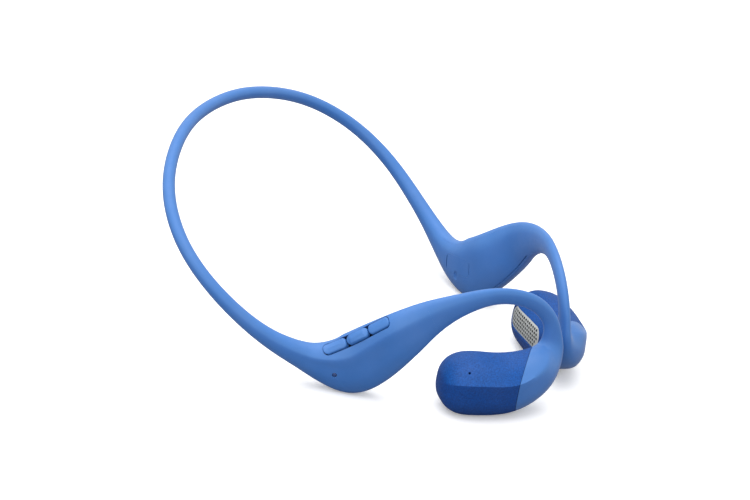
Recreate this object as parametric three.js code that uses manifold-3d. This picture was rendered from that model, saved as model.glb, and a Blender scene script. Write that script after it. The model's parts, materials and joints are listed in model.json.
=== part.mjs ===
// Open-ear neckband headphones: a flexible neckband, a housing behind each ear, an ear hook over each ear and
// a speaker pod in front of it. Millimetres, +Z up. The wearer faces -Y and the wearer's left is +X. The
// headphones stand on a table (z = 0) on the flat lands under both pods and both housings.
// The left half is drawn once, and everything that both sides share is mirrored in the plane x = 0.
import * as THREE from 'three';
import { mergeVertices } from 'three/addons/utils/BufferGeometryUtils.js';
import Module from 'manifold-3d';

const wasm = await Module();
wasm.setup();

// ---------- driving dimensions ----------

const GAP = 0.3; // clearance between neighbouring pieces
const SKIN_SIDES = 12; // corners of a moulded section
const ROD_SIDES = 8; // corners of a wire
const RING_PITCH = 5; // spacing of the sections along a swept body
const WALL = 1.5; // housing wall
const POD_WALL = 1.4;
const SEAL_HALF = 0.85; // half width of the housing seal
const SPLIT = 0.6; // how far inward the housing shells part, as a share of the half width

// Centre line of the left half, from the middle of the neckband to the tip of the speaker pod.
// at: point. high, wide: half sizes. faces: heading of the outward side in degrees. crease: +1 puts the
// section's ridge above the middle and -1 below it, 0 is a plain ellipse. shift: sideways move of the section.
const ARM = {
  apex: { at: [0, 69.7, 53.8], high: 2.05, wide: 2.05, faces: 90 },
  rear: { at: [24, 66.4, 52.6], high: 2.05, wide: 2.05, faces: 77 },
  corner: { at: [47.6, 56.6, 46.1], high: 2.05, wide: 2.05, faces: 48 },
  side: { at: [60.5, 43.2, 37.1], high: 2.1, wide: 2.1, faces: 18 },
  widest: { at: [64, 28.3, 27.3], high: 2.25, wide: 2.2, faces: -4 },
  neck: { at: [59.7, 10.8, 15.9], high: 2.8, wide: 2.5, faces: -22 },
  seam: { at: [52.6, -2.1, 10], high: 4.4, wide: 3.5, faces: -26, crease: 0.5 },
  shoulder: { at: [49.1, -8.9, 9], high: 7.2, wide: 4.5, faces: -25, crease: 1 },
  belly: { at: [45.9, -16.1, 9.7], high: 10.3, wide: 5, faces: -23, crease: 1 },
  waist: { at: [43.5, -22.5, 15.7], high: 9.7, wide: 4.9, faces: -18, crease: 1 },
  brow: { at: [42, -30.5, 25], high: 7.9, wide: 4, faces: -20, crease: 0.8 },
  root: { at: [37.6, -36.4, 31.2], high: 6, wide: 2.9, faces: -30, crease: 0.4 },
  rise: { at: [30.8, -43.3, 35.9], high: 3.95, wide: 2, faces: -40 },
  top: { at: [20.8, -51, 38.3], high: 2.8, wide: 1.65, faces: -43 },
  curl: { at: [10.9, -59, 35.6], high: 2.6, wide: 1.65, faces: -43 },
  front: { at: [5.7, -64.1, 29.3], high: 2.5, wide: 1.65, faces: -42 },
  drop: { at: [4.7, -65.8, 23.3], high: 3.2, wide: 1.8, faces: -42 },
  heel: { at: [5, -66.1, 18.2], high: 5, wide: 3.2, faces: -43, crease: -0.2 },
  sole: { at: [11.4, -65.9, 13.8], high: 7.6, wide: 6.6, faces: -45, crease: -0.65, shift: -0.6 },
  pod: { at: [20.4, -60.4, 9.6], high: 9.3, wide: 9.4, faces: -45, crease: -1, shift: -1.3 },
  speaker: { at: [29.4, -51.4, 9.5], high: 9.8, wide: 9.9, faces: -45, crease: -1, shift: -1.5 },
  nose: { at: [33.8, -46.2, 9.5], high: 8.9, wide: 9, faces: -45, crease: -1, shift: -1.4 },
  tip: { at: [35.8, -43.7, 9.6], high: 5, wide: 5.8, faces: -45, crease: -1, shift: -1.3 },
};

// Section of unit size with its ridge above the middle: [sideways, up], from the outward side over the top.
const RIDGED = [
  [0.97, 0.05], [1, 0.42], [0.45, 0.8], [-0.12, 1], [-0.6, 0.86], [-0.92, 0.5],
  [-1, 0], [-0.93, -0.52], [-0.6, -0.92], [0, -1], [0.54, -0.91], [0.88, -0.48],
];

// Elastic bending is concentrated at a flex point in each half of the neckband and in each ear hook.
const BAND_FLEX = { after: 'apex', by: 18, gap: 1.7 };
const HOOK_FLEX = { after: 'rise', by: 2.5, gap: 1 };

// The cap and the base of a pod part in an upright plane: a point on it and its turn from the plane facing +Y.
const CAP_SPLIT = { at: [17, -63.7], turn: -15 };

// Spring wire and cable lie one above the other in the bore of the neckband and of each hook.
const BAND_BORE = { high: 1.4, wide: 1.3, rod: 0.35, lift: 0.5 };
const HOOK_BORE = { high: 1.4, wide: 0.95, rod: 0.3, lift: 0.5 };

// Buttons share one straight slot in the upper facet of the right housing. Depths count from the facet.
const BUTTON = { length: 7.6, width: 3.6, pitch: 8, round: 1.4, proud: 0.5, middleProud: 0.9, depth: 1.2 };
const SLOT_AT = { after: 'belly', by: 8.8 };
const MEMBRANE = { length: 23.2, width: 4, from: 1.85, thick: 0.3 };
const SWITCH = { size: 3, from: 2.45, thick: 0.9 };
const BUTTON_BOARD = { length: 20, width: 3.2, from: 3.65, thick: 0.6 };

const PORT_COVER = { length: 12, width: 6, round: 1.5, fromSeam: 7, lift: 1 };
const RECEPTACLE = { length: 8.9, width: 3.2, depth: 3.8, wall: 0.35, tongue: 0.7, along: 0 };
const NOTCH_UP = -2.9; // height of the nail notch at the edge of the port cover
const DRIVER_ALONG = -1; // place of the driver, counted from the middle of the speaker frame
const GRILLE = {
  length: 21.5, width: 7.2, thick: 0.7, along: -2.8, up: -1.2, tilt: -2,
  rows: 3, columns: 7, pitch: [2.6, 2], slot: [1.2, 1.1],
};

// ---------- the centre line ----------

const radians = (degrees) => degrees * Math.PI / 180;
const left = Object.entries(ARM).map(([name, station]) => ({ name, ...station }));
const right = left.slice(1).reverse().map((station) => ({
  ...station,
  name: '',
  at: [-station.at[0], station.at[1], station.at[2]],
  faces: 180 - station.faces,
}));
const stations = [...right, ...left];
const curve = (pick) => new THREE.CatmullRomCurve3(stations.map(pick), false, 'centripetal');
const path = curve((s) => new THREE.Vector3(...s.at));
const sizes = curve((s) => new THREE.Vector3(s.high, s.wide, s.shift ?? 0));
const sides = curve((s) => new THREE.Vector3(Math.cos(radians(s.faces)), Math.sin(radians(s.faces)), s.crease ?? 0));
const CHORD = 0.8 / (stations.length - 1); // half the chord that gives a section its direction

const within = (t) => Math.min(1, Math.max(0, t));

// The parameter of a named station, moved along by a distance in mm.
function where(name, distance = 0) {
  const goal = stations.findIndex((s) => s.name === name) / (stations.length - 1);
  const steps = 20;
  let t = goal;
  for (let i = 0; i < steps; i += 1) {
    const speed = path.getPoint(within(t + 1e-3)).distanceTo(path.getPoint(within(t - 1e-3))) / 2e-3;
    t += distance / steps / speed;
  }
  return t;
}

// The point, the three directions and the section at parameter t.
function frame(t) {
  const along = path.getPoint(within(t + CHORD)).sub(path.getPoint(within(t - CHORD))).normalize();
  const side = sides.getPoint(within(t));
  const out = side.clone().setZ(0).normalize();
  const up = along.clone().cross(out).normalize();
  out.copy(up).cross(along).normalize();
  const size = sizes.getPoint(within(t));
  const point = path.getPoint(within(t));
  return { point, along, out, up, high: size.x, wide: size.y, shift: size.z, crease: side.z };
}

const beside = (f, out, up) => f.point.clone().addScaledVector(f.out, out).addScaledVector(f.up, up);

// ---------- sections ----------

// Corner k of a unit section; a crease below zero turns the ridged section upside down.
function corner(k, count, crease) {
  const angle = 2 * Math.PI * k / count;
  const round = [Math.cos(angle), Math.sin(angle)];
  if (count !== SKIN_SIDES || crease === 0) return round;
  const [a, b] = crease > 0 ? RIDGED[k] : RIDGED[(count - k) % count];
  const ridged = [a, b * Math.sign(crease)];
  const share = Math.min(1, Math.abs(crease));
  return round.map((value, i) => value + share * (ridged[i] - value));
}

// A section is a function from the frame to its corners: [out, up] of corner k.
const skin = (inset = 0) => ({
  count: SKIN_SIDES,
  place: (f, k, radius) => {
    const [a, b] = corner(k, SKIN_SIDES, f.crease);
    return [f.shift + a * (f.wide - inset) * radius, b * (f.high - inset) * radius];
  },
});
const rod = (wide, high = wide, lift = 0) => ({
  count: ROD_SIDES,
  place: (f, k, radius) => {
    const [a, b] = corner(k, ROD_SIDES, 0);
    return [a * wide * radius, lift + b * high * radius];
  },
});
// A slab that reaches past the skin above and below; from and to count outward from the parting of the shells.
const slab = (from, to) => ({
  count: 4,
  place: (f, k, radius) => {
    const half = (k % 3 === 0 ? radius : -radius) * (to - from) / 2;
    const reach = (k < 2 ? radius : -radius) * (f.high + 2);
    return [-SPLIT * f.wide + (from + to) / 2 + half, reach];
  },
});

// ---------- solids ----------

function solid(geometry) {
  const bare = geometry.clone();
  bare.deleteAttribute('normal');
  bare.deleteAttribute('uv');
  const merged = mergeVertices(bare, 1e-4);
  const vertProperties = new Float32Array(merged.attributes.position.array);
  const triVerts = new Uint32Array(merged.index.array);
  const body = new wasm.Manifold(new wasm.Mesh({ numProp: 3, vertProperties, triVerts }));
  if (body.volume() > 0) return body;
  for (let i = 0; i < triVerts.length; i += 3) [triVerts[i], triVerts[i + 1]] = [triVerts[i + 1], triVerts[i]];
  return new wasm.Manifold(new wasm.Mesh({ numProp: 3, vertProperties, triVerts }));
}

// A closed body swept along the centre line.
function sweep(from, to, section) {
  const length = path.getPoint(within(from)).distanceTo(path.getPoint(within(to)));
  const spread = Math.max(length, Math.abs(to - from) * (stations.length - 1) * 6);
  const rings = Math.max(1, Math.round(spread / RING_PITCH));
  const geometry = new THREE.CylinderGeometry(1, 1, 1, section.count, rings);
  const position = geometry.attributes.position;
  for (let i = 0; i < position.count; i += 1) {
    const [x, y, z] = [position.getX(i), position.getY(i), position.getZ(i)];
    const share = Math.round((y + 0.5) * rings) / rings;
    const k = (Math.round(Math.atan2(x, z) / (2 * Math.PI) * section.count) + section.count) % section.count;
    const f = frame(from + (to - from) * share);
    const point = beside(f, ...section.place(f, k, Math.round(Math.hypot(x, z))));
    position.setXYZ(i, point.x, point.y, point.z);
  }
  return solid(geometry);
}

// A body drawn with x along, y outward and z up, placed in the frame at t.
function placed(f, geometry, along = 0, out = 0, up = 0) {
  const basis = new THREE.Matrix4().makeBasis(f.along, f.out, f.up).setPosition(f.point);
  return solid(geometry.clone().translate(along, out, up).applyMatrix4(basis));
}

const block = (length, thick, high) => new THREE.BoxGeometry(length, thick, high);

// A plate with rounded corners: length along x, width along z, from y = 0 to its thickness.
function plate(length, width, round, thick) {
  const [a, b] = [length / 2 - round, width / 2 - round];
  const outline = new THREE.Shape();
  outline.absarc(a, b, round, 0, Math.PI / 2);
  outline.absarc(-a, b, round, Math.PI / 2, Math.PI);
  outline.absarc(-a, -b, round, Math.PI, 1.5 * Math.PI);
  outline.absarc(a, -b, round, 1.5 * Math.PI, 2 * Math.PI);
  const geometry = new THREE.ExtrudeGeometry(outline, { depth: thick, bevelEnabled: false, curveSegments: 2 });
  return geometry.rotateX(-Math.PI / 2);
}
const stadium = (length, width, thick) => plate(length, width, width / 2 - 0.01, thick);

function mesh(name, body, material) {
  const data = body.getMesh();
  const geometry = new THREE.BufferGeometry();
  geometry.setAttribute('position', new THREE.BufferAttribute(new Float32Array(data.vertProperties), 3));
  geometry.setIndex(new THREE.BufferAttribute(new Uint32Array(data.triVerts), 1));
  const result = new THREE.Mesh(geometry, material.clone());
  result.name = name;
  return result;
}

// ---------- materials ----------

const paint = (color, roughness, metalness = 0) => new THREE.MeshStandardMaterial({ color, roughness, metalness });
const BLUE = paint('#4a7cc8', 0.5);
const BUTTON_BLUE = paint('#4373bd', 0.5);
const NAVY = paint('#1e448f', 0.55);
const SEAL = paint('#2c2f33', 0.8);
const SPRING = paint('#b9bdc2', 0.3, 1);
const COPPER = paint('#a8552f', 0.5);
const BOARD = paint('#1f5a3a', 0.5);
const STEEL = paint('#c9ccd0', 0.35, 1);
const CLEAR = paint('#e8eef5', 0.2);
const BLACK = paint('#1b1c1e', 0.6);
const CELL = paint('#9aa3ab', 0.4);
const FILM = paint('#d8d2c0', 0.4);

const table = solid(new THREE.BoxGeometry(400, 400, 40).translate(0, 0, -20));
const headphones = new THREE.Group();
const leftSide = new THREE.Group();
const rightSide = new THREE.Group();
rightSide.scale.x = -1;
headphones.add(leftSide, rightSide);
const both = [['left', leftSide], ['right', rightSide]];

// ---------- neckband ----------

const seam = where('seam');
const root = where('root');
const bandFlex = where(BAND_FLEX.after, BAND_FLEX.by);
const mirrored = (t) => 1 - t;
const wireEnd = where('seam', 5.1);
const bandBore = rod(BAND_BORE.wide, BAND_BORE.high);

const rearEnd = where(BAND_FLEX.after, BAND_FLEX.by - BAND_FLEX.gap / 2);
const armStart = where(BAND_FLEX.after, BAND_FLEX.by + BAND_FLEX.gap / 2);
const sleeveEnd = where('seam', -GAP);
const bore = (from, to) => sweep(from - 0.002, to + 0.002, bandBore);
const rearSleeve = sweep(mirrored(rearEnd), rearEnd, skin()).subtract(bore(mirrored(rearEnd), rearEnd));
headphones.add(mesh('band_sleeve_rear', rearSleeve, BLUE));
for (const [side, group] of both) {
  const sleeve = sweep(armStart, sleeveEnd, skin()).subtract(bore(armStart, sleeveEnd));
  group.add(mesh(`band_sleeve_${side}`, sleeve, BLUE));
}
const bandWire = rod(BAND_BORE.rod, BAND_BORE.rod, BAND_BORE.lift);
const bandCable = rod(BAND_BORE.rod, BAND_BORE.rod, -BAND_BORE.lift);
headphones.add(mesh('neckband_spring_wire', sweep(mirrored(wireEnd), wireEnd, bandWire), SPRING));
headphones.add(mesh('neckband_cable', sweep(mirrored(wireEnd), wireEnd, bandCable), COPPER));

// ---------- housings ----------

const bandDuct = sweep(where('seam', -1), where('seam', 8), rod(BAND_BORE.rod + GAP, BAND_BORE.high));
const hookDuct = sweep(where('root', -4), where('root', 1), rod(HOOK_BORE.rod + GAP, HOOK_BORE.high));
const ducts = bandDuct.add(hookDuct);
const cavity = sweep(where('seam', WALL), where('root', -WALL), skin(WALL));
const share = (from, to) => sweep(where('seam', -1), where('root', 1), slab(from, to));
const rabbet = sweep(where('seam', 0.75), where('root', -0.75), skin(0.75))
  .intersect(share(-SEAL_HALF - GAP, SEAL_HALF + GAP));

const housing = sweep(seam, root, skin()).subtract(cavity).subtract(rabbet).subtract(ducts).subtract(table);
const outerShell = housing.intersect(share(GAP / 2, 16));
const innerShell = housing.subtract(share(-GAP / 2, 16));

const sealRing = sweep(where('seam', 1.05), where('root', -1.05), skin(1.05))
  .intersect(share(-SEAL_HALF, SEAL_HALF)).subtract(cavity).subtract(ducts).subtract(table);

const anchorPlug = sweep(where('seam', 1.9), where('seam', 4.9), skin(WALL + 0.4)).subtract(bandDuct);
const anchorFrame = frame(where('seam', 3.4));
const grubHole = placed(anchorFrame, new THREE.CylinderGeometry(0.9, 0.9, 6, ROD_SIDES).rotateX(Math.PI / 2), 0, 0, 4.2);
const grubScrew = placed(anchorFrame, new THREE.CylinderGeometry(0.55, 0.55, 1.2, 6).rotateX(Math.PI / 2), 0, 0, 2.1);

const anchor = anchorPlug.subtract(grubHole);
for (const [side, group] of both) group.add(mesh(`${side}_anchor_screw`, grubScrew, STEEL));

// ---------- right housing: controls ----------

// The straight frame of the button slot: its y axis is the facet's outward normal.
function facet(t) {
  const edge = (at, k) => beside(frame(at), ...skin().place(frame(at), k, 1));
  const point = edge(t, 2);
  const along = edge(t + 0.015, 2).sub(edge(t - 0.015, 2)).normalize();
  const across = edge(t, 3).sub(edge(t, 1)).normalize();
  const out = across.clone().cross(along).normalize();
  const up = along.clone().cross(out).normalize();
  return { point, along, out, up };
}
const slotFrame = facet(where(SLOT_AT.after, SLOT_AT.by));
const slotLength = 2 * BUTTON.pitch + BUTTON.length + 2 * GAP;
const slot = placed(slotFrame, plate(slotLength, BUTTON.width + 2 * GAP, BUTTON.round + GAP, 5), 0, -2.4, 0);
const switchPocket = placed(slotFrame, plate(MEMBRANE.length + 2 * GAP, MEMBRANE.width + 2 * GAP, 1, 3), 0, -4.6, 0);
const controls = slot.add(switchPocket);
const pipeFrame = frame(where('shoulder', 3));
const pipe = (radius, length) => new THREE.CylinderGeometry(radius, radius, length, SKIN_SIDES);
const pipeHole = placed(pipeFrame, pipe(1.3, 4), 0, pipeFrame.wide, -1.9);
rightSide.add(mesh('right_housing_seal', sealRing.subtract(controls), SEAL));
rightSide.add(mesh('right_wire_anchor', anchor.subtract(controls), STEEL));
rightSide.add(mesh('right_housing_outer', outerShell.subtract(controls).subtract(pipeHole), BLUE));
rightSide.add(mesh('right_housing_inner', innerShell.subtract(controls), BLUE));
rightSide.add(mesh('status_light_pipe', placed(pipeFrame, pipe(1, 1.6), 0, pipeFrame.wide - 0.9, -1.9), CLEAR));

['volume_down', 'play', 'volume_up'].forEach((name, i) => {
  const along = (i - 1) * BUTTON.pitch;
  const proud = i === 1 ? BUTTON.middleProud : BUTTON.proud;
  const cap = plate(BUTTON.length, BUTTON.width, BUTTON.round, BUTTON.depth + proud);
  rightSide.add(mesh(`${name}_button`, placed(slotFrame, cap, along, -BUTTON.depth, 0), BUTTON_BLUE));
  const box = block(SWITCH.size, SWITCH.thick, SWITCH.size);
  rightSide.add(mesh(`${name}_switch`, placed(slotFrame, box, along, -SWITCH.from - SWITCH.thick / 2, 0), STEEL));
});
const membrane = plate(MEMBRANE.length, MEMBRANE.width, 1, MEMBRANE.thick);
rightSide.add(mesh('button_membrane', placed(slotFrame, membrane, 0, -MEMBRANE.from - MEMBRANE.thick, 0), SEAL));
const buttonBoard = block(BUTTON_BOARD.length, BUTTON_BOARD.thick, BUTTON_BOARD.width);
const boardDepth = -BUTTON_BOARD.from - BUTTON_BOARD.thick / 2;
rightSide.add(mesh('button_board', placed(slotFrame, buttonBoard, 0, boardDepth, 0), BOARD));

const boardFrame = frame(where('waist', -2));
rightSide.add(mesh('main_board', placed(boardFrame, block(17, 0.8, 6.8), 0, -0.6, -2.6), BOARD));
rightSide.add(mesh('radio_shield_can', placed(boardFrame, block(9, 1.3, 5.6), -3, 0.8, -2.6), STEEL));

// ---------- left housing: battery and charging ----------

const portFrame = frame(where('seam', PORT_COVER.fromSeam + PORT_COVER.length / 2));
const opening = (grow, from, to) => placed(
  portFrame,
  plate(PORT_COVER.length + 2 * grow, PORT_COVER.width + 2 * grow, PORT_COVER.round + grow, to - from),
  0, from, PORT_COVER.lift,
);
const portCut = opening(GAP, -9, -1.2);
const coverBody = innerShell.intersect(opening(0, -9, -1.5));
const notchFrame = frame(where('shoulder', 4.5));
const notchShape = new THREE.SphereGeometry(1, 10, 6).scale(1, 0.6, 1.8);
const nailNotch = placed(notchFrame, notchShape, 0, -notchFrame.wide, NOTCH_UP);
leftSide.add(mesh('charging_port_cover', coverBody.subtract(nailNotch), BLUE));
leftSide.add(mesh('left_housing_seal', sealRing, SEAL));
leftSide.add(mesh('left_wire_anchor', anchor, STEEL));
leftSide.add(mesh('left_housing_outer', outerShell, BLUE));
leftSide.add(mesh('left_housing_inner', innerShell.subtract(portCut).subtract(nailNotch), BLUE));

const socket = RECEPTACLE;
const socketFace = -(portFrame.wide - WALL) + 0.55;
const tube = placed(portFrame, block(socket.length, socket.depth, socket.width),
  socket.along, socketFace + socket.depth / 2, PORT_COVER.lift);
const pocket = placed(
  portFrame,
  block(socket.length - 2 * socket.wall, socket.depth, socket.width - 2 * socket.wall),
  socket.along, socketFace + socket.depth / 2 - socket.wall, PORT_COVER.lift,
);
const tongue = placed(portFrame, block(socket.length - 2.4, socket.depth - 0.9, socket.tongue), socket.along,
  socketFace + socket.depth - (socket.depth - 0.9) / 2, PORT_COVER.lift);
leftSide.add(mesh('usb_c_receptacle', tube.subtract(pocket).add(tongue), STEEL));
const chargeBoard = block(9, 0.5, 4.4);
const chargeDepth = socketFace + socket.depth + 0.55;
leftSide.add(mesh('charging_board', placed(portFrame, chargeBoard, socket.along, chargeDepth, PORT_COVER.lift), BOARD));

const cellFrame = frame(where('waist', 2));
leftSide.add(mesh('battery_cell', placed(cellFrame, block(12.5, 4, 9), 0, 0.3, -0.6), CELL));
leftSide.add(mesh('battery_foam', placed(cellFrame, block(9, 0.5, 5), 0, -2.1, 0), BLACK));

// ---------- ear hooks and pods ----------

const hookFlexA = where(HOOK_FLEX.after, HOOK_FLEX.by - HOOK_FLEX.gap / 2);
const hookFlexB = where(HOOK_FLEX.after, HOOK_FLEX.by + HOOK_FLEX.gap / 2);
const hookBore = (from, to) => sweep(from, to, rod(HOOK_BORE.wide, HOOK_BORE.high));
const hookRear = sweep(where('root', GAP), hookFlexA, skin()).subtract(hookBore(root, where('rise', 4)));
const hookFront = sweep(hookFlexB, where('heel', -GAP), skin()).subtract(hookBore(where('rise', 1), where('heel', 1)));
const hookRod = (lift) => sweep(where('root', -3.5), where('sole', 3), rod(HOOK_BORE.rod, HOOK_BORE.rod, lift));
const podDuct = sweep(where('heel', -1), where('sole', 3), rod(HOOK_BORE.wide, HOOK_BORE.high));
const podCavity = sweep(where('sole', 1), where('nose', 1), skin(POD_WALL));
const podShell = sweep(where('heel'), 1, skin()).subtract(podCavity).subtract(podDuct).subtract(table);
const capSide = new THREE.BoxGeometry(80, 80, 80).translate(0, 40, 0);
const beyond = (gap) => solid(
  capSide.clone().rotateZ(radians(CAP_SPLIT.turn)).translate(CAP_SPLIT.at[0], CAP_SPLIT.at[1] + gap, 0),
);
const podBase = podShell.subtract(beyond(-GAP / 2));

const speakerFrame = frame(where('speaker', -2.5));
const face = speakerFrame.shift - speakerFrame.wide; // inner side of the pod
const inPod = (geometry, depth) => placed(
  speakerFrame, geometry.rotateY(radians(GRILLE.tilt)), GRILLE.along, face + depth, GRILLE.up,
);
const behindGrille = (geometry, depth) => placed(speakerFrame, geometry, DRIVER_ALONG, face + depth, 0);
const grilleOpening = inPod(stadium(GRILLE.length + 2 * GAP, GRILLE.width + 2 * GAP, 4), -1.5);
const micFrame = frame(where('speaker', 3.5));
const micHole = placed(micFrame, new THREE.CylinderGeometry(0.45, 0.45, 6, ROD_SIDES).rotateZ(radians(-35)), 0, 4.6, -6.5);
const podCap = podShell.intersect(beyond(GAP / 2)).subtract(grilleOpening).subtract(micHole);

let grille = inPod(stadium(GRILLE.length, GRILLE.width, GRILLE.thick), 0.2);
for (let row = 0; row < GRILLE.rows; row += 1) {
  for (let column = 0; column < GRILLE.columns - (row % 2 ? 0 : 1); column += 1) {
    const count = GRILLE.columns - (row % 2 ? 0 : 1);
    const along = (column - (count - 1) / 2) * GRILLE.pitch[0];
    const up = (row - (GRILLE.rows - 1) / 2) * GRILLE.pitch[1];
    grille = grille.subtract(inPod(block(GRILLE.slot[0], 3, GRILLE.slot[1]).translate(along, 0, up), 0));
  }
}
const ringPlate = (length, width, border, thick, depth) => behindGrille(stadium(length, width, thick), depth)
  .subtract(behindGrille(stadium(length - 2 * border, width - 2 * border, thick + 2), depth - 1));
const driverCup = behindGrille(stadium(14.2, 9.5, 3.3), 2.9)
  .subtract(behindGrille(stadium(13, 8.4, 2.4), 1.9))
  .subtract(behindGrille(stadium(10, 6.6, 9), 1));

for (const [side, group] of both) {
  group.add(mesh(`${side}_hook_sleeve_rear`, hookRear, BLUE));
  group.add(mesh(`${side}_hook_sleeve_front`, hookFront, BLUE));
  group.add(mesh(`${side}_hook_spring_wire`, hookRod(HOOK_BORE.lift), SPRING));
  group.add(mesh(`${side}_hook_cable`, hookRod(-HOOK_BORE.lift), COPPER));
  group.add(mesh(`${side}_pod_base`, podBase, BLUE));
  group.add(mesh(`${side}_pod_cap`, podCap, NAVY));
  group.add(mesh(`${side}_speaker_grille`, grille, STEEL));
  group.add(mesh(`${side}_grille_mesh`, inPod(stadium(20.5, 6.6, 0.2), 1.2), BLACK));
  group.add(mesh(`${side}_driver_gasket`, ringPlate(14, 8.4, 1, 0.4, 2.2), SEAL));
  group.add(mesh(`${side}_driver_frame`, driverCup, BLACK));
  group.add(mesh(`${side}_diaphragm`, behindGrille(stadium(12.2, 7.6, 0.3), 3.4), FILM));
  group.add(mesh(`${side}_driver_magnet`, behindGrille(stadium(9.2, 5.8, 3.6), 4.4), STEEL));
  group.add(mesh(`${side}_microphone`, placed(micFrame, block(3.5, 1, 2.6), 0, 2.4, -1.5), STEEL));
}

export default headphones;
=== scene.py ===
import json
import math

import bmesh
import bpy
import numpy as np
from mathutils import Matrix, Vector
from mathutils.bvhtree import BVHTree


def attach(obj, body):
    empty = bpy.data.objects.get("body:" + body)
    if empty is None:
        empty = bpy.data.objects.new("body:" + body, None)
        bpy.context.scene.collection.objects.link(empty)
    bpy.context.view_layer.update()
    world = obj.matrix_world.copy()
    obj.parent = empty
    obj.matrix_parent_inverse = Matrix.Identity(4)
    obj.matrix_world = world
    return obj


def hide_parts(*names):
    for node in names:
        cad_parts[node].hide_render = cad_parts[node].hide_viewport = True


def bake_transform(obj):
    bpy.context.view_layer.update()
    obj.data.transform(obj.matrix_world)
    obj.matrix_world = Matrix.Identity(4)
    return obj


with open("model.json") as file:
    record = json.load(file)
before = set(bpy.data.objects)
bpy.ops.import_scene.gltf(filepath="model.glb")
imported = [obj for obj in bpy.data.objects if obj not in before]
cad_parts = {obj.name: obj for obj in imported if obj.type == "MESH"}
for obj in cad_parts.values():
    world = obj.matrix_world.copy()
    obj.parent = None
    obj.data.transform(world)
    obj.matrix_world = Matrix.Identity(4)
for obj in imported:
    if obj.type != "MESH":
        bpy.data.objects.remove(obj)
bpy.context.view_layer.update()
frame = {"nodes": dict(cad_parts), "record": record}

# Looks of the open-ear neckband headphones. Lengths are in millimetres until a mesh is made, and in metres
# from then on, so also in the materials, the lights and the camera.
# The left half is drawn, and the right half is its mirror image in the plane x = 0.

MM = 0.001

# ---------- driving dimensions ----------

GAP = 0.3  # clearance between moulded pieces
SEAM_GAP = 0.004  # clearance where a soft sleeve meets a housing
PARTING = {"top": 0.02, "bottom": 0.18}  # half the gap between the housing shells, above and below
WALL = 1.0  # housing wall
POD_WALL = 1.4  # pod wall
CAP_GAP = 0.06  # half the gap between the base and the cap of a pod
SPLIT = 0.6  # how far inward the housing shells part, as a share of the half width
AROUND = 72  # points around a closed section
RING_STEP = 0.8  # distance between sections
DOME = {"length": 11.2, "power": 2.5, "rings": 20}  # the rounded end of a pod, a superellipse
# upright plane in which the base and the cap of a pod part, up to this height, which is clear of the hook
CAP_SPLIT = {"at": (17, -63.7), "turn": -15, "top": 23}
BUTTON = {"length": 7.6, "width": 3.6, "pitch": 8.0, "round": 1.4, "depth": 1.2, "crown": 0.06}
SLOT_AT = 8.8  # middle of the button slot, counted from the belly
SLOT_DEPTH = 2.4
PORT_COVER = {"length": 12, "width": 6, "round": 1.5, "from_seam": 7, "lift": 1}
# ends of the cover and of its opening: how far they lie forward of the ends of the plain outline
COVER_ENDS = {"rear": 0.35, "front": -0.14}
OPENING_ENDS = {"rear": -0.1, "front": 0.03}
NOTCH = {"from_shoulder": 4.5, "up": -2.9, "radii": (1, 0.6, 1.8)}  # for a finger nail, beside the cover
PIPE = {"from_shoulder": 3, "up": -1.9, "radius": 0.75, "gap": 0.06, "sunk": 0.95}
GRILLE = {"length": 21.5, "width": 7.2, "along": -2.8, "up": -1.2, "tilt": -2, "thick": 0.3, "recess": 0.2,
          "gap": 0.12, "turned_down": 0.08}
HOLES = {"rows": 5, "pitch": (1.3, 1.22), "size": (1.0, 1.08), "lean": -20, "border": 0.8}
CLOTH = {"margin": 0.4, "depth": 0.6, "thick": 0.15}
MICROPHONE = {"from_speaker": 3.5, "at": (0, 4.6, -6.5), "radius": 0.42}
BAND_BEND = (7, 29)  # where the band bends, counted from the apex
HOOK_BEND = {"from_rise": 2.5, "toward": (-0.64, -0.77, 0), "reach": (-2, 8)}

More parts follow.
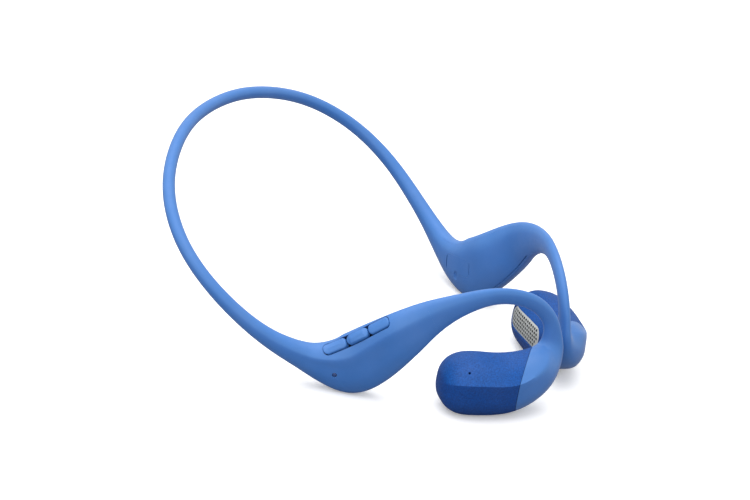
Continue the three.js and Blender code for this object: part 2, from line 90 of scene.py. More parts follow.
# Centre line of the left half: name, point, half height, half width, heading of the outer side in degrees,
# crease (above the middle if positive, below if negative), sideways shift, sharpness of the crease.
ARM = [
    ("apex", (0, 69.7, 53.8), 2.05, 2.05, 90, 0, 0, 0),
    ("rear", (24, 66.4, 52.6), 2.05, 2.05, 77, 0, 0, 0),
    ("corner", (47.6, 56.6, 46.1), 2.05, 2.05, 48, 0, 0, 0),
    ("side", (60.5, 43.2, 37.1), 2.1, 2.1, 18, 0, 0, 0),
    ("widest", (64, 28.3, 27.3), 2.25, 2.2, -4, 0, 0, 0),
    ("neck", (59.7, 10.8, 15.9), 2.8, 2.5, -22, 0, 0, 0),
    ("seam", (52.6, -2.1, 10), 4.4, 3.5, -26, 0.5, 0, 0.1),
    ("shoulder", (49.1, -8.9, 9), 7.2, 4.5, -25, 1, 0, 0.4),
    ("belly", (45.9, -16.1, 9.7), 10.3, 5, -23, 1, 0, 0.45),
    ("waist", (43.5, -22.5, 15.7), 9.7, 4.9, -18, 1, 0, 0.45),
    ("brow", (42, -30.5, 25), 7.9, 4, -20, 0.8, 0, 0.3),
    ("root", (37.6, -36.4, 31.2), 6, 2.9, -30, 0.4, 0, 0.1),
    ("rise", (30.8, -43.3, 35.9), 3.95, 2, -40, 0, 0, 0),
    ("top", (20.8, -51, 38.3), 2.8, 1.65, -43, 0, 0, 0),
    ("curl", (10.9, -59, 35.6), 2.6, 1.65, -43, 0, 0, 0),
    ("front", (5.7, -64.1, 29.3), 2.5, 1.65, -42, 0, 0, 0),
    ("drop", (4.7, -65.8, 23.3), 3.2, 1.8, -42, 0, 0, 0),
    ("heel", (5, -66.1, 18.2), 5, 3.2, -43, -0.2, 0, 0.05),
    ("sole", (11.4, -65.9, 13.8), 7.6, 6.6, -45, -0.65, -0.6, 0.35),
    ("pod", (20.4, -60.4, 9.6), 9.3, 9.4, -45, -1, -1.3, 0.95),
    ("speaker", (29.4, -51.4, 9.5), 9.8, 9.9, -45, -1, -1.5, 0.9),
    ("nose", (33.8, -46.2, 9.5), 8.9, 9, -45, -1, -1.4, 0.5),
    ("tip", (35.8, -43.7, 9.6), 5, 5.8, -45, -1, -1.3, 0.2),
]
CORNERS = 12
# Corners of the unit section that has a crease, as [out, up]; corner 1 is the crease.
RIDGED = np.array([
    (0.97, 0.05), (1, 0.42), (0.51, 0.84), (-0.12, 1), (-0.6, 0.86), (-0.92, 0.5),
    (-1, 0), (-0.93, -0.52), (-0.6, -0.92), (0, -1), (0.54, -0.91), (0.88, -0.48),
])

# ---------- the centre line ----------

NAMES = [row[0] for row in ARM]
left_rows = [row[1:] for row in ARM]
right_rows = [((-at[0], at[1], at[2]), high, wide, 180 - faces, *rest)
              for at, high, wide, faces, *rest in reversed(left_rows[1:])]
stations = right_rows + left_rows
SPANS = len(stations) - 1
CHORD = 0.8 / SPANS
GRID = np.linspace(0, 1, 50 * SPANS + 1)
SPREAD = 14  # samples over which the centre line is evened out


def catmull(points, t):
    """Centripetal Catmull-Rom curve through the points."""
    place = (len(points) - 1) * t
    i = min(int(place), len(points) - 2)
    w = place - i
    x1, x2 = points[i], points[i + 1]
    x0 = points[i - 1] if i > 0 else 2 * x1 - x2
    x3 = points[i + 2] if i + 2 < len(points) else 2 * x2 - x1
    d0, d1, d2 = (float(np.dot(b - a, b - a)) ** 0.25 for a, b in ((x0, x1), (x1, x2), (x2, x3)))
    d1 = d1 if d1 > 1e-4 else 1.0
    d0 = d0 if d0 > 1e-4 else d1
    d2 = d2 if d2 > 1e-4 else d1
    t1 = ((x1 - x0) / d0 - (x2 - x0) / (d0 + d1) + (x2 - x1) / d1) * d1
    t2 = ((x2 - x1) / d1 - (x3 - x1) / (d1 + d2) + (x3 - x2) / d2) * d1
    return x1 + t1 * w + (-3 * x1 + 3 * x2 - 2 * t1 - t2) * w ** 2 + (2 * x1 - 2 * x2 + t1 + t2) * w ** 3


def sampled(pick):
    points = np.array([pick(*station) for station in stations], float)
    return np.array([catmull(points, t) for t in GRID])


def evened(values):
    """Evens out the curvature at the stations; both ends stay where they are."""
    reach = 3 * SPREAD
    lead = 2 * values[0] - values[reach:0:-1]
    tail = 2 * values[-1] - values[-2:-reach - 2:-1]
    weights = np.exp(-0.5 * (np.arange(-reach, reach + 1) / SPREAD) ** 2)
    padded = np.vstack([lead, values, tail])
    return np.column_stack([np.convolve(column, weights / weights.sum(), "valid") for column in padded.T])


def heading(at, high, wide, faces, crease, shift, edge):
    return math.cos(math.radians(faces)), math.sin(math.radians(faces)), crease


plain = (
    sampled(lambda at, *rest: at),
    sampled(lambda at, high, wide, faces, crease, shift, edge: (high, wide, shift)),
    sampled(heading),
)
even = tuple(evened(table) for table in plain)
edge_at_stations = [station[-1] for station in stations]


def pick(table, t):
    return np.column_stack([np.interp(np.clip(t, 0, 1), GRID, column) for column in table.T])


def unit(vectors):
    return vectors / np.linalg.norm(vectors, axis=-1, keepdims=True)


def where(name, distance=0.0):
    """The parameter of a named station, moved along by a distance."""
    t = (len(right_rows) + NAMES.index(name)) / SPANS
    steps = 20
    for _ in range(steps):
        ends = pick(plain[0], np.array([t - 1e-3, t + 1e-3]))
        t += distance / steps / (np.linalg.norm(ends[1] - ends[0]) / 2e-3)
    return t


class Frames:
    """Points, directions and section sizes at each parameter in t."""

    def __init__(self, t, source=even):
        t = np.atleast_1d(t)
        path, sizes, sides = source
        self.point = pick(path, t)
        self.along = unit(pick(path, t + CHORD) - pick(path, t - CHORD))
        side = pick(sides, t)
        self.up = unit(np.cross(self.along, side * (1, 1, 0)))
        self.out = np.cross(self.up, self.along)
        self.high, self.wide, self.shift = pick(sizes, t).T
        self.crease = side[:, 2]
        self.edge = np.interp(t, np.linspace(0, 1, SPANS + 1), edge_at_stations)

    def beside(self, out, up, along=0.0):
        """Points at these distances from the centre line; one row for each frame."""
        out, up, along = (np.asarray(v, float)[..., None] for v in (out, up, along))
        offset = out * self.out[:, None] + up * self.up[:, None] + along * self.along[:, None]
        return self.point[:, None] + offset


def outline(crease, edge, ks):
    """A unit section at the corner positions ks, as [out, up]: smooth, with a crease at corner 1 or 11."""
    angle = 2 * np.pi * np.arange(CORNERS) / CORNERS
    circle = np.column_stack([np.cos(angle), np.sin(angle)])
    ridged = RIDGED if crease > 0 else RIDGED[(CORNERS - np.arange(CORNERS)) % CORNERS] * (1, -1)
    p = circle + min(1.0, abs(crease)) * (ridged - circle)
    slope = (np.roll(p, -1, 0) - np.roll(p, 1, 0)) / 2
    before, after = slope.copy(), slope.copy()
    k = 1 if crease > 0 else CORNERS - 1
    before[k] += edge * (p[k] - p[k - 1] - slope[k])
    after[k] += edge * (p[(k + 1) % CORNERS] - p[k] - slope[k])
    ks = np.asarray(ks, float) % CORNERS
    i = np.minimum(ks.astype(int), CORNERS - 1)
    j = (i + 1) % CORNERS
    w = (ks - i)[:, None]
    return (p[i] * (2 * w ** 3 - 3 * w ** 2 + 1) + after[i] * (w ** 3 - 2 * w ** 2 + w)
            + p[j] * (3 * w ** 2 - 2 * w ** 3) + before[j] * (w ** 3 - w ** 2))


# ---------- meshes ----------

def new_object(name, verts, faces):
    mesh = bpy.data.meshes.new(name)
    mesh.from_pydata([tuple(v) for v in np.asarray(verts) * MM], [], [tuple(f) for f in faces])
    obj = bpy.data.objects.new(name, mesh)
    bpy.context.scene.collection.objects.link(obj)
    tidy_mesh(obj)
    return obj


def tidy_mesh(obj):
    """Merges doubled points, drops empty faces and turns the surface outward."""
    bm = bmesh.new()
    bm.from_mesh(obj.data)
    bmesh.ops.remove_doubles(bm, verts=bm.verts, dist=2e-6)
    bmesh.ops.dissolve_degenerate(bm, edges=bm.edges, dist=1e-6)
    bmesh.ops.recalc_face_normals(bm, faces=bm.faces)
    bm.to_mesh(obj.data)
    bm.free()


def lofted(rings, name):
    """A closed body through rings of the same number of points; each end is a fan about its middle."""
    rings = np.asarray(rings, float)
    n, m = rings.shape[:2]
    verts = list(rings.reshape(-1, 3))
    faces = []
    for i in range(n - 1):
        for k in range(m):
            k2 = (k + 1) % m
            faces.append((i * m + k, (i + 1) * m + k, (i + 1) * m + k2, i * m + k2))
    for i in (0, n - 1):
        middle = len(verts)
        verts.append(rings[i].mean(0))
        for k in range(m):
            faces.append((middle, i * m + k, i * m + (k + 1) % m))
    return new_object(name, verts, faces)


def between(start, end, step=RING_STEP):
    """Parameters from start to end at about this spacing."""
    fine = np.linspace(start, end, 400)
    points = pick(even[0], fine)
    length = np.concatenate([[0], np.cumsum(np.linalg.norm(np.diff(points, axis=0), axis=1))])
    count = max(2, int(round(length[-1] / step)) + 1)
    return np.interp(np.linspace(0, length[-1], count), length, fine)


def sections(frames, inset=0.0, around=AROUND):
    """One closed section for each frame, made smaller by the inset."""
    ks = np.arange(around) * CORNERS / around
    shape = np.array([outline(c, e, ks) for c, e in zip(frames.crease, frames.edge)])
    out = frames.shift[:, None] + shape[..., 0] * (frames.wide - inset)[:, None]
    up = shape[..., 1] * (frames.high - inset)[:, None]
    return frames.beside(out, up)


def boolean(obj, tool, operation="DIFFERENCE", keep_tool=False):
    """Cuts obj with the tool, and removes the tool unless it is kept."""
    modifier = obj.modifiers.new("cut", "BOOLEAN")
    modifier.operation = operation
    modifier.solver = "EXACT"
    modifier.object = tool
    graph = bpy.context.evaluated_depsgraph_get()
    result = bpy.data.meshes.new_from_object(obj.evaluated_get(graph))
    obj.modifiers.clear()
    obj.data = result
    tidy_mesh(obj)
    if not keep_tool:
        bpy.data.objects.remove(tool)


def copy_of(obj, name):
    twin = obj.copy()
    twin.data = obj.data.copy()
    twin.name = name
    bpy.context.scene.collection.objects.link(twin)
    return twin


def mirror(obj, name=None):
    """The mirror image of obj in the plane x = 0: a new object if a name is given, else obj itself."""
    target = copy_of(obj, name) if name else obj
    target.data.transform(Matrix.Scale(-1, 4, (1, 0, 0)))
    target.data.flip_normals()
    return target


def rounded(length, width, radius, steps=7):
    """A rectangle with rounded corners, as [x, z] points."""
    points = []
    for quarter, (sx, sz) in enumerate(((1, 1), (-1, 1), (-1, -1), (1, -1))):
        for step in range(steps + 1):
            angle = (quarter + step / steps) * math.pi / 2
            points.append((sx * (length / 2 - radius) + radius * math.cos(angle),
                           sz * (width / 2 - radius) + radius * math.sin(angle)))
    return np.array(points)


class Place:
    """A local frame: x along, y outward, z up, with its origin on the centre line."""

    def __init__(self, origin, along, out, up):
        self.origin, self.axes = origin, np.array([along, out, up])

    def points(self, local):
        return self.origin + np.asarray(local, float) @ self.axes


def place_at(t):
    """The local frame at this parameter, with the half sizes and the sideways shift of its section."""
    f = Frames(t, plain)
    place = Place(f.point[0], f.along[0], f.out[0], f.up[0])
    place.wide, place.high, place.shift = f.wide[0], f.high[0], f.shift[0]
    return place


def prism(place, flat, near, far, name, shift=(0.0, 0.0)):
    """A body with the outline flat, as [x, z], from y = near to y = far of the place."""
    rings = []
    for depth in (near, far):
        local = np.column_stack([flat[:, 0] + shift[0], np.full(len(flat), depth), flat[:, 1] + shift[1]])
        rings.append(place.points(local))
    return lofted(rings, name)


def circle(radius, count=24):
    angle = 2 * np.pi * np.arange(count) / count
    return radius * np.column_stack([np.cos(angle), np.sin(angle)])


def smooth(obj, angle=32):
    """Shades smoothly, but keeps the edges that are sharper than the angle."""
    obj.data.polygons.foreach_set("use_smooth", [True] * len(obj.data.polygons))
    obj.data.set_sharp_from_angle(angle=math.radians(angle))


# ---------- neckband ----------

band_t = between(0.5, where("seam", -SEAM_GAP))
band = lofted(sections(Frames(band_t), around=36), "left_band")
smooth(band)

# ---------- housings ----------

seam, root = where("seam"), where("root")
shell_frames = Frames(between(seam, root, 0.7))


def crossing(crease, edge, target, low, high):
    """The corner position between low and high at which the unit section has this outward share."""
    ks = np.linspace(low, high, 240)
    shares = outline(crease, edge, ks)[:, 0]
    order = np.argsort(shares)
    return float(np.interp(target, shares[order], ks[order]))


def shell_arc(f, i, inset, outer):
    """The unit section of frame i on one side of the parting plane, from its upper to its lower edge."""
    sign = 1 if outer else -1

    def parting(gap, low, high):
        out = -SPLIT * f.wide[i] + sign * gap - f.shift[i]
        return crossing(f.crease[i], f.edge[i], out / (f.wide[i] - inset), low, high)

    top = parting(PARTING["top"], 2.2, 6)
    bottom = parting(PARTING["bottom"], 6, 9.8)
    if outer:
        above = np.linspace(top, 1, 22, endpoint=False)
        ks = np.concatenate([above, np.linspace(1, bottom - CORNERS, 34)])
    else:
        ks = np.linspace(top, bottom, 30)
    return outline(f.crease[i], f.edge[i], ks)


def half_shell(name, outer):
    """One housing shell: hollow, on one side of the parting plane, swept from the seam to the root."""
    f = shell_frames
    rings = []
    for i in range(len(f.wide)):
        loops = []
        for inset in (0.0, WALL):
            shape = shell_arc(f, i, inset, outer)
            local_out = f.shift[i] + shape[:, 0] * (f.wide[i] - inset)
            local_up = shape[:, 1] * (f.high[i] - inset)
            loops.append(f.point[i] + local_out[:, None] * f.out[i] + local_up[:, None] * f.up[i])
        rings.append(np.vstack([loops[0], loops[1][::-1]]))
    rings = np.array(rings)
    n, m = rings.shape[:2]
    rings[..., 2] = np.maximum(rings[..., 2], 0.0)
    half = m // 2
    faces = [(i * m + k, (i + 1) * m + k, (i + 1) * m + (k + 1) % m, i * m + (k + 1) % m)
             for i in range(n - 1) for k in range(m)]
    for i in (0, n - 1):
        faces += [(i * m + k, i * m + k + 1, i * m + m - 2 - k, i * m + m - 1 - k) for k in range(half - 1)]
    return new_object(name, rings.reshape(-1, 3), faces)


left_outer = half_shell("left_outer_shell", True)
left_inner = half_shell("left_inner_shell", False)
right_outer = copy_of(left_outer, "right_outer_shell")
right_inner = copy_of(left_inner, "right_inner_shell")


def facet(t):
    """The straight frame of the button slot on the upper facet of the housing."""

    def edge(at, k):
        f = Frames(at, plain)
        share = outline(f.crease[0], 0.0, [k])[0]
        return f.beside([f.shift[0] + share[0] * f.wide[0]], [share[1] * f.high[0]])[0, 0]

    along = unit(edge(t + 0.015, 2) - edge(t - 0.015, 2))
    out = unit(np.cross(edge(t, 3) - edge(t, 1), along))
    return Place(edge(t, 2), along, out, unit(np.cross(along, out)))


slot = facet(where("belly", SLOT_AT))
slot_length = 2 * BUTTON["pitch"] + BUTTON["length"] + 2 * GAP
slot_shape = rounded(slot_length - GAP, BUTTON["width"] + 2 * GAP, BUTTON["round"] + GAP / 2)
housing_surface = BVHTree.FromObject(left_outer, bpy.context.evaluated_depsgraph_get())
boolean(right_outer, prism(slot, slot_shape, -SLOT_DEPTH, 5, "slot_cut"))

pipe_place = place_at(where("shoulder", PIPE["from_shoulder"]))
pipe_face = pipe_place.wide * PIPE["sunk"]
pipe_hole = circle(PIPE["radius"] + PIPE["gap"])
pipe_cut = prism(pipe_place, pipe_hole, pipe_face - 2.5, pipe_face + 2, "pipe_cut", (0, PIPE["up"]))
boolean(right_outer, pipe_cut)

port = place_at(where("seam", PORT_COVER["from_seam"] + PORT_COVER["length"] / 2))


def port_prism(grow, ends, name):
    """The outline of the port cover as a block, with its two ends cut straight."""
    length, width = PORT_COVER["length"], PORT_COVER["width"]
    flat = rounded(length + 2 * grow, width + 2 * grow, PORT_COVER["round"] + grow)
    flat[:, 0] = np.clip(flat[:, 0], ends["rear"] - length / 2, ends["front"] + length / 2)
    return prism(port, flat, -9, -1.2, name, (0, PORT_COVER["lift"]))


def ball(place, centre, radii, name):
    """An ellipsoid. Its first and last rings stop just short of the poles."""
    rings = []
    for i in range(13):
        polar = math.pi * (i + 0.02 * (6 - i) / 6) / 12
        local = np.column_stack([circle(math.sin(polar) * radii[0], 24)[:, 0],
                                 np.full(24, math.cos(polar) * radii[1]),
                                 circle(math.sin(polar) * radii[2], 24)[:, 1]])
        rings.append(place.points(local + centre))
    return lofted(rings, name)


notch_place = place_at(where("shoulder", NOTCH["from_shoulder"]))
notch = ball(notch_place, (0, -notch_place.wide, NOTCH["up"]), NOTCH["radii"], "notch_cut")
cover = copy_of(left_inner, "port_cover")
boolean(cover, port_prism(0.0, COVER_ENDS, "cover_cut"), "INTERSECT")
boolean(cover, notch, keep_tool=True)
boolean(left_inner, port_prism(0.03, OPENING_ENDS, "opening_cut"))
boolean(left_inner, notch)
for obj in (left_outer, left_inner, right_outer, right_inner, cover):
    smooth(obj)
for obj in (right_outer, right_inner):
    mirror(obj)

# ---------- buttons and light ----------


def facet_height(x, z):
    """Height of the uncut housing over the slot frame at these points."""
    heights = []
    for start in slot.points(np.column_stack([x, np.full(len(x), 6.0), z])):
        hit = housing_surface.ray_cast(Vector(start * MM), Vector(-slot.axes[1]))[3]
        heights.append(6.0 - hit / MM)
    return np.array(heights)


# Rings of a button top: inset from its outline, and height over the low level of the button.
BUTTON_TOP = [(0, -0.42), (0.03, -0.25), (0.12, -0.1), (0.28, -0.02), (0.5, 0), (0.8, 0.01), (1.2, 0.02),
              (1.6, 0.03)]


def button(name, along, low, peak, ramp):
    """A crowned cap with rounded edges; with a ramp its middle stands higher than its two ends."""
    rings = []
    for inset, height in [(0, -BUTTON["depth"])] + [(inset, low + rise) for inset, rise in BUTTON_TOP]:
        corner = max(0.15, BUTTON["round"] - inset)
        flat = rounded(BUTTON["length"] - 2 * inset, BUTTON["width"] - 2 * inset, corner, 8)
        rise = np.zeros(len(flat))
        if ramp:
            share = np.clip((BUTTON["length"] / 2 - 0.25 - np.abs(flat[:, 0])) / ramp, 0, 1)
            middle = min(1.0, inset / 0.28)
            rise = (peak - low) * share ** 2 * (3 - 2 * share) * (0.55 + 0.45 * middle) * (height > 0)
        crown = BUTTON["crown"] * (1 - (flat[:, 1] / (BUTTON["width"] / 2)) ** 2) * (height > 0)
        x = flat[:, 0] + along
        ground = facet_height(x, flat[:, 1]) * (height > 0)
        local = np.column_stack([x, height + rise + crown + ground, flat[:, 1]])
        rings.append(slot.points(local))
    return mirror(lofted(rings, name))


# Each cap: place along the slot, low level, level of its raised middle, length of the ramp up to it.
buttons = {
    "volume_down": button("volume_down_cap", -BUTTON["pitch"], 0.45, 0.45, 0),
    "play": button("play_cap", 0.0, 0.35, 0.9, 1.5),
    "volume_up": button("volume_up_cap", BUTTON["pitch"], 0.45, 0.45, 0),
}
for cap in buttons.values():
    smooth(cap, 40)

# Rings of the light pipe: share of its radius, and height over the place where its face would be flush.
PIPE_RINGS = ((0.98, -1.5), (1.0, -1.4), (1.0, -0.55), (0.86, -0.3), (0.55, -0.18), (0.2, -0.13))
pipe_rings = []
for radius, depth in PIPE_RINGS:
    disc = circle(radius * PIPE["radius"])
    local = np.column_stack([disc[:, 0], np.full(len(disc), pipe_face + depth), disc[:, 1] + PIPE["up"]])
    pipe_rings.append(pipe_place.points(local))
light_pipe = mirror(lofted(pipe_rings, "status_light"))
smooth(light_pipe)

# ---------- ear hooks and pods ----------

speaker = where("speaker")
hook_frames = Frames(between(where("root", SEAM_GAP), speaker))
dome_frame = Frames(speaker)
axis_point = dome_frame.point[0] + dome_frame.shift[0] * dome_frame.out[0]
dome_section = sections(dome_frame)[0] - axis_point
dome = []
for ring in range(1, DOME["rings"] + 1):
    share = math.sin(ring / DOME["rings"] * math.pi / 2 * 0.99)
    scale = (1 - share ** DOME["power"]) ** (1 / DOME["power"])
    dome.append(axis_point + dome_frame.along[0] * DOME["length"] * share + dome_section * scale)
pod_rings = np.concatenate([sections(hook_frames), dome])
pod_rings[..., 2] = np.maximum(pod_rings[..., 2], 0.0)  # nothing reaches below the table
pod_skin = lofted(pod_rings, "pod_skin")
surface = BVHTree.FromObject(pod_skin, bpy.context.evaluated_depsgraph_get())
cavity_frames = Frames(between(where("sole", 1), where("nose", -1)))
boolean(pod_skin, lofted(sections(cavity_frames, POD_WALL), "pod_cavity"))


def beyond(gap, name):
    """A block that holds everything on the cap's side of the plane between base and cap."""
    turn = math.radians(CAP_SPLIT["turn"])
    forward = np.array([math.cos(turn), math.sin(turn), 0])
    sideways = np.array([-math.sin(turn), math.cos(turn), 0])
    foot = np.array([CAP_SPLIT["at"][0], CAP_SPLIT["at"][1] + gap, 0])
    low, high = np.array([0, 0, -40]), np.array([0, 0, CAP_SPLIT["top"]])
    rings = []
    for reach in (0, 80):
        middle = foot + reach * sideways
        rings.append([middle - 40 * forward + low, middle + 40 * forward + low,
                      middle + 40 * forward + high, middle - 40 * forward + high])
    return lofted(rings, name)


pod_cap = copy_of(pod_skin, "left_pod_cover")
boolean(pod_skin, beyond(-CAP_GAP, "base_cut"))
boolean(pod_cap, beyond(CAP_GAP, "cap_cut"), "INTERSECT")
hook = pod_skin
hook.name = "left_hook_skin"

face_place = place_at(where("speaker", -2.5))
face = face_place.shift - face_place.wide
tilt = math.radians(GRILLE["tilt"])


def tilted(flat):
    """Points [x, z] of the grille's own frame as [x, z] of the face's frame."""
    x = flat[:, 0] * math.cos(tilt) + flat[:, 1] * math.sin(tilt) + GRILLE["along"]
    z = -flat[:, 0] * math.sin(tilt) + flat[:, 1] * math.cos(tilt) + GRILLE["up"]
    return np.column_stack([x, z])


def on_face(flat, depth):
    """Points [x, z] of the grille's own frame, laid on the inner surface of the pod and sunk by depth."""
    x, z = tilted(flat).T
    starts = face_place.points(np.column_stack([x, np.full(len(x), face - 12), z]))
    ray = Vector(face_place.axes[1])
    points = []
    for start, sink in zip(starts, np.broadcast_to(depth, len(x))):
        hit = surface.ray_cast(Vector(start * MM), ray)[0] or surface.find_nearest(Vector(start * MM))[0]
        points.append(np.array(hit) / MM + face_place.axes[1] * sink)
    return np.array(points)


opening = rounded(GRILLE["length"] + 2 * GRILLE["gap"], GRILLE["width"] + 2 * GRILLE["gap"],
                  GRILLE["width"] / 2 + 0.11, 14)
boolean(pod_cap, prism(face_place, tilted(opening), face - 4, face + 6.5, "grille_cut"))
mic_place = place_at(where("speaker", MICROPHONE["from_speaker"]))
mic_axis = unit(0.6 * mic_place.axes[1] - 0.8 * mic_place.axes[2])
mic_side = mic_place.axes[0]
mic = Place(mic_place.points(MICROPHONE["at"]), mic_side, mic_axis, np.cross(mic_side, mic_axis))
boolean(pod_cap, prism(mic, circle(MICROPHONE["radius"]), -3, 3, "mic_cut"))
smooth(pod_cap)
smooth(hook)


def strip(length, width, columns, rows):
    """A stadium covered by a grid, as an array of columns by rows of [x, z]."""
    radius = width / 2
    turn = np.linspace(-math.pi / 2, math.pi / 2, columns)
    x = length / 2 * np.sin(turn)
    reach = np.clip(np.abs(x) - (length / 2 - radius), 0, radius * 0.999)
    half = np.sqrt(radius ** 2 - reach ** 2)
    share = np.linspace(-1, 1, rows)
    return np.stack([np.repeat(x[:, None], rows, 1), half[:, None] * share[None]], axis=-1)


def plate(name, length, width, near, far, edge=0.0):
    """A curved plate on the inner surface of the pod, between two depths, with its border turned down."""
    columns, rows = 56, 15
    grid = strip(length, width, columns, rows)
    flat = grid.reshape(-1, 2)
    rim = np.zeros((columns, rows), bool)
    rim[[0, -1]] = True
    rim[:, [0, -1]] = True
    sunk = near + edge * rim.reshape(-1)
    front, back = on_face(flat, sunk), on_face(flat, far)
    count = columns * rows
    verts = np.vstack([front, back])
    faces = []
    for i in range(columns - 1):
        for j in range(rows - 1):
            a, b, c, d = i * rows + j, (i + 1) * rows + j, (i + 1) * rows + j + 1, i * rows + j + 1
            faces += [(a, b, c, d), (count + d, count + c, count + b, count + a)]
    border = [i * rows for i in range(columns)] + [(columns - 1) * rows + j for j in range(1, rows)]
    border += [i * rows + rows - 1 for i in range(columns - 2, -1, -1)]
    border += [j for j in range(rows - 2, 0, -1)]
    for a, b in zip(border, border[1:] + border[:1]):
        faces.append((a, count + a, count + b, b))
    return new_object(name, verts, faces)


grille = plate("left_grille", GRILLE["length"], GRILLE["width"], GRILLE["recess"],
               GRILLE["recess"] + GRILLE["thick"], GRILLE["turned_down"])
hole_verts, hole_faces = [], []
hole = circle(1.0, 8) * np.array(HOLES["size"]) / 2
lean = math.radians(HOLES["lean"])
hole = np.column_stack([hole[:, 0] * math.cos(lean) - hole[:, 1] * math.sin(lean),
                        hole[:, 0] * math.sin(lean) + hole[:, 1] * math.cos(lean)])
for row in range(HOLES["rows"]):
    z = (row - (HOLES["rows"] - 1) / 2) * HOLES["pitch"][1]
    radius = GRILLE["width"] / 2 - HOLES["border"]
    reach = GRILLE["length"] / 2 - GRILLE["width"] / 2 + math.sqrt(radius ** 2 - z ** 2) - 0.2
    columns = int(2 * reach / HOLES["pitch"][0])
    columns -= (columns + row) % 2
    for column in range(columns + 1):
        x = (column - columns / 2) * HOLES["pitch"][0]
        flat = hole + (x, z)
        base = len(hole_verts)
        near, far = on_face(flat, -0.6), on_face(flat, 1.6)
        hole_verts += list(near) + list(far)
        count = len(flat)
        hole_faces.append(tuple(range(base, base + count)))
        hole_faces.append(tuple(range(base + 2 * count - 1, base + count - 1, -1)))
        for k in range(count):
            k2 = (k + 1) % count
            hole_faces.append((base + k, base + count + k, base + count + k2, base + k2))
boolean(grille, new_object("holes", hole_verts, hole_faces))
smooth(grille)
cloth_depth = GRILLE["recess"] + CLOTH["depth"]
cloth = plate("left_grille_cloth", GRILLE["length"] - 2 * CLOTH["margin"],
              GRILLE["width"] - 2 * CLOTH["margin"], cloth_depth, cloth_depth + CLOTH["thick"])
smooth(cloth)

# ---------- materials ----------


def srgb(red, green, blue):
    """A display colour from 0 to 255 as the linear colour that a shader takes."""
    shares = (v / 255 for v in (red, green, blue))
    return tuple(((v + 0.055) / 1.055) ** 2.4 if v > 0.04045 else v / 12.92 for v in shares)


def painted_top_light(nodes, links, colour, top):
    """Painted highlight: the colour, turning to the paler top colour on faces that look up, as if lit from
    above.
    """
    normal = nodes.new("ShaderNodeNewGeometry").outputs["Normal"]
    split = nodes.new("ShaderNodeSeparateXYZ")
    links.new(normal, split.inputs["Vector"])
    top_light_share = nodes.new("ShaderNodeMapRange")
    top_light_share.interpolation_type = "SMOOTHSTEP"
    top_light_share.inputs["From Min"].default_value = 0.12
    top_light_share.inputs["From Max"].default_value = 0.42
    links.new(split.outputs["Z"], top_light_share.inputs["Value"])
    top_light_mix = nodes.new("ShaderNodeMix")
    top_light_mix.data_type = "RGBA"
    top_light_mix.inputs["A"].default_value = (*colour, 1)
    top_light_mix.inputs["B"].default_value = (*top, 1)
    links.new(top_light_share.outputs["Result"], top_light_mix.inputs["Factor"])
    return top_light_mix.outputs["Result"]


def material(name, colour, rough, grain, depth, mottle=0.03, metal=0.0, bevel=0.0, stretch=None,
             weave=False, top=None, speckle=0.0, **extra):
    """Colour with a slow tone change and uneven roughness, over a relief of this grain size and depth.

    A bevel rounds the edges by this radius, stretch draws the texture out, weave makes the relief a check,
    top is a painted highlight, the paler colour given to faces that look up as if lit from above, speckle
    adds light and dark grains, and extra holds further inputs of the shader.
    """
    mat = bpy.data.materials.new(name)
    mat.use_nodes = True
    nodes, links = mat.node_tree.nodes, mat.node_tree.links
    shader = nodes["Principled BSDF"]
    shader.inputs["Specular IOR Level"].default_value = 0.45
    place = nodes.new("ShaderNodeTexCoord").outputs["Object"]
    if stretch:
        mapping = nodes.new("ShaderNodeMapping")
        mapping.inputs["Scale"].default_value = stretch
        links.new(place, mapping.inputs["Vector"])
        place = mapping.outputs["Vector"]

    def noise(scale, detail):
        node = nodes.new("ShaderNodeTexNoise")
        node.inputs["Scale"].default_value = scale
        node.inputs["Detail"].default_value = detail
        links.new(place, node.inputs["Vector"])
        return node.outputs["Fac"]

    def remap(value, low, high):
        node = nodes.new("ShaderNodeMapRange")
        node.inputs["From Min"].default_value = 0.3
        node.inputs["From Max"].default_value = 0.7
        node.inputs["To Min"].default_value = low
        node.inputs["To Max"].default_value = high
        links.new(value, node.inputs["Value"])
        return node.outputs["Result"]

    tone = nodes.new("ShaderNodeHueSaturation")
    tone.inputs["Color"].default_value = (*colour, 1)
    # Painted highlight: faces that look up take the paler top colour, as if lit from above.
    if top:
        links.new(painted_top_light(nodes, links, colour, top), tone.inputs["Color"])
    value = remap(noise(140, 3), 1 - mottle, 1 + mottle)
    if speckle:
        grains = nodes.new("ShaderNodeMath")
        grains.operation = "MULTIPLY"
        links.new(value, grains.inputs[0])
        links.new(remap(noise(2200, 2), 1 - speckle, 1 + speckle), grains.inputs[1])
        value = grains.outputs[0]
    links.new(value, tone.inputs["Value"])
    links.new(remap(noise(90, 2), 1 - mottle / 2, 1 + mottle / 2), tone.inputs["Saturation"])
    links.new(tone.outputs["Color"], shader.inputs["Base Color"])
    links.new(remap(noise(600, 4), rough - 0.05, rough + 0.05), shader.inputs["Roughness"])
    shader.inputs["Metallic"].default_value = metal
    if weave:
        squares = nodes.new("ShaderNodeTexChecker")
        squares.inputs["Scale"].default_value = 1 / grain
        links.new(place, squares.inputs["Vector"])
        height = squares.outputs["Fac"]
    else:
        height = noise(1 / grain, 2)
    bump = nodes.new("ShaderNodeBump")
    bump.inputs["Strength"].default_value = 1.0
    bump.inputs["Distance"].default_value = depth
    links.new(height, bump.inputs["Height"])
    if bevel:
        edge = nodes.new("ShaderNodeBevel")
        edge.samples = 4
        edge.inputs["Radius"].default_value = bevel
        links.new(edge.outputs["Normal"], bump.inputs["Normal"])
    links.new(bump.outputs["Normal"], shader.inputs["Normal"])
    for socket, setting in extra.items():
        shader.inputs[socket.replace("_", " ")].default_value = setting
    return mat


